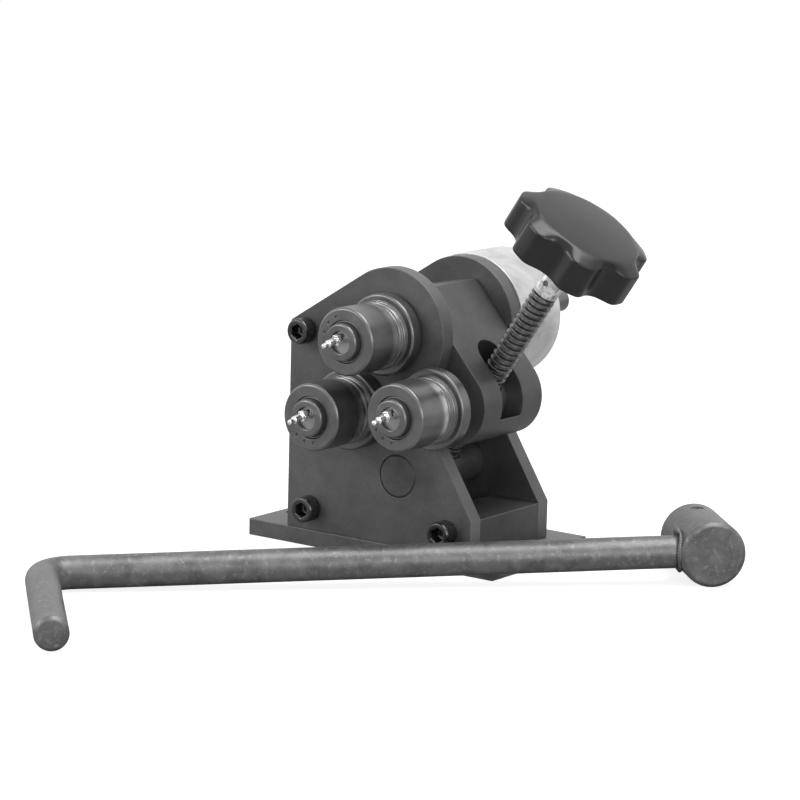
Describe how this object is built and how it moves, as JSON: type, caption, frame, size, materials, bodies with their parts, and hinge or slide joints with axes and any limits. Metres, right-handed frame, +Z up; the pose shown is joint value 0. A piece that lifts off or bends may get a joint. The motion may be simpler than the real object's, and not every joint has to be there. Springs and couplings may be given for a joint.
{
  "type": "three-roller plate rolling machine",
  "caption": "Hand-cranked bench roller for bending flat bar, with overhung rollers, a screw-adjusted swing arm, a planetary reducer and a loose crank handle",
  "frame": {"origin": "centre of the base plate's underside, which is also the centre of its four bolt holes", "axes": "+X to the right along the side plates, +Y to the rear along the roller axes, towards the crank's input shaft, +Z up"},
  "size_m": [0.3094, 0.4898, 0.2325],
  "materials": {
    "blackened_steel": "blackened, low sheen",
    "blackened_screws": "black oxide, semi-gloss",
    "roller_steel": "turned and blackened, semi-gloss",
    "bright_steel": "turned, lightly oiled",
    "zinc_fittings": "bright zinc plate",
    "bronze_bushes": "turned bronze",
    "cast_alloy": "cast, painted silver",
    "knob_plastic": "moulded, semi-matt",
    "crank_steel": "hot rolled bar, mottled grey"
  },
  "bodies": {
    "frame": {"base_plate": "blackened_steel", "front_side_plate": "blackened_steel", "rear_side_plate": "blackened_steel", "left_foot_block": "blackened_steel", "right_foot_block": "blackened_steel", "upper_spacer_bar": "blackened_steel", "frame_screws": "blackened_screws", "base_screws": "blackened_screws", "left_axle": "bright_steel", "left_thrust_washer": "bronze_bushes", "left_ring_nut": "roller_steel", "left_grease_nipple": "zinc_fittings", "left_axle_nut": "blackened_screws", "front_shaft_bush": "bronze_bushes", "rear_shaft_bush": "bronze_bushes", "reducer_housing": "cast_alloy", "ring_gear": "bright_steel", "reducer_cover": "cast_alloy", "reducer_screws": "blackened_screws", "input_bush": "bronze_bushes"},
    "left_roll": {"left_roller": "roller_steel", "left_roller_bushes": "bronze_bushes"},
    "drive": {"top_roller": "roller_steel", "drive_shaft": "bright_steel", "roller_key": "bright_steel", "top_ring_nut": "roller_steel", "top_grease_nipple": "zinc_fittings", "planet_carrier": "bright_steel", "carrier_key": "bright_steel", "planet_pins": "bright_steel"},
    "planet_1": {"planet_gear_1": "bright_steel"},
    "planet_2": {"planet_gear_2": "bright_steel"},
    "planet_3": {"planet_gear_3": "bright_steel"},
    "input": {"input_shaft": "bright_steel"},
    "arm": {"swing_arm": "blackened_steel", "arm_bush": "bronze_bushes"},
    "right_trunnion": {"right_axle": "bright_steel", "right_sleeve": "bright_steel", "right_ring_nut": "roller_steel", "right_grease_nipple": "zinc_fittings"},
    "right_roll": {"right_roller": "roller_steel", "right_roller_bushes": "bronze_bushes"},
    "cross_pin": {"pivot_pin": "bright_steel"},
    "screw": {"adjusting_screw": "bright_steel", "screw_keeper": "blackened_screws", "keeper_pin": "bright_steel", "knob_collar": "zinc_fittings", "collar_pin": "bright_steel", "star_knob": "knob_plastic"},
    "crank": {"crank_bar": "crank_steel", "crank_hub": "crank_steel", "crank_weld": "crank_steel", "crank_set_screw": "blackened_screws"}
  },
  "joints": [
    {"name": "screw_turn", "type": "hinge", "parent": "cross_pin", "child": "screw", "pos_m": [0.0209, -0.0105, 0.05399], "axis": [-0.5474, 0, -0.8369], "range_deg": [-264, 2199]},
    {"name": "screw_tilt", "type": "hinge", "parent": "frame", "child": "cross_pin", "pos_m": [0.0209, -0.0105, 0.05399], "axis": [0, -1, 0], "range_deg": [-1.5, 1.5]},
    {"name": "arm_swing", "type": "hinge", "parent": "frame", "child": "arm", "pos_m": [0.0125, -0.0105, 0.1415], "axis": [0, -1, 0], "range_deg": [-3.2, 25.2]},
    {"name": "nut_swivel", "type": "hinge", "parent": "arm", "child": "right_trunnion", "pos_m": [0.05147, -0.0105, 0.10072], "axis": [0, -1, 0], "range_deg": [-26.2, 4.2]},
    {"name": "right_roller_spin", "type": "hinge", "parent": "right_trunnion", "child": "right_roll", "pos_m": [0.05147, -0.075, 0.10072], "axis": [0, -1, 0], "continuous": true},
    {"name": "left_roller_spin", "type": "hinge", "parent": "frame", "child": "left_roll", "pos_m": [-0.01174, -0.075, 0.09246], "axis": [0, -1, 0], "continuous": true},
    {"name": "roller_drive", "type": "hinge", "parent": "frame", "child": "drive", "pos_m": [0.0125, 0, 0.1415], "axis": [0, -1, 0], "continuous": true},
    {"name": "input_spin", "type": "hinge", "parent": "frame", "child": "input", "pos_m": [0.0125, 0.075, 0.1415], "axis": [0, -1, 0], "continuous": true},
    {"name": "planet_spin_1", "type": "hinge", "parent": "drive", "child": "planet_1", "pos_m": [0.0125, 0.045, 0.1595], "axis": [0, -1, 0], "continuous": true},
    {"name": "planet_spin_2", "type": "hinge", "parent": "drive", "child": "planet_2", "pos_m": [-0.00309, 0.045, 0.1325], "axis": [0, -1, 0], "continuous": true},
    {"name": "planet_spin_3", "type": "hinge", "parent": "drive", "child": "planet_3", "pos_m": [0.02809, 0.045, 0.1325], "axis": [0, -1, 0], "continuous": true},
    {"name": "crank_lift", "type": "slide", "parent": "frame", "child": "crank", "axis": [0, 0, 1], "range_m": [0, 0.05]}
  ],
  "couplings": [
    {"joint": "arm_swing", "follows": "screw_turn", "ratio": 0.011368},
    {"joint": "screw_tilt", "follows": "screw_turn", "ratio": -0.000398},
    {"joint": "nut_swivel", "follows": "screw_turn", "ratio": -0.011766},
    {"joint": "input_spin", "follows": "roller_drive", "ratio": 4},
    {"joint": "planet_spin_1", "follows": "roller_drive", "ratio": -3},
    {"joint": "planet_spin_2", "follows": "roller_drive", "ratio": -3},
    {"joint": "planet_spin_3", "follows": "roller_drive", "ratio": -3}
  ]
}
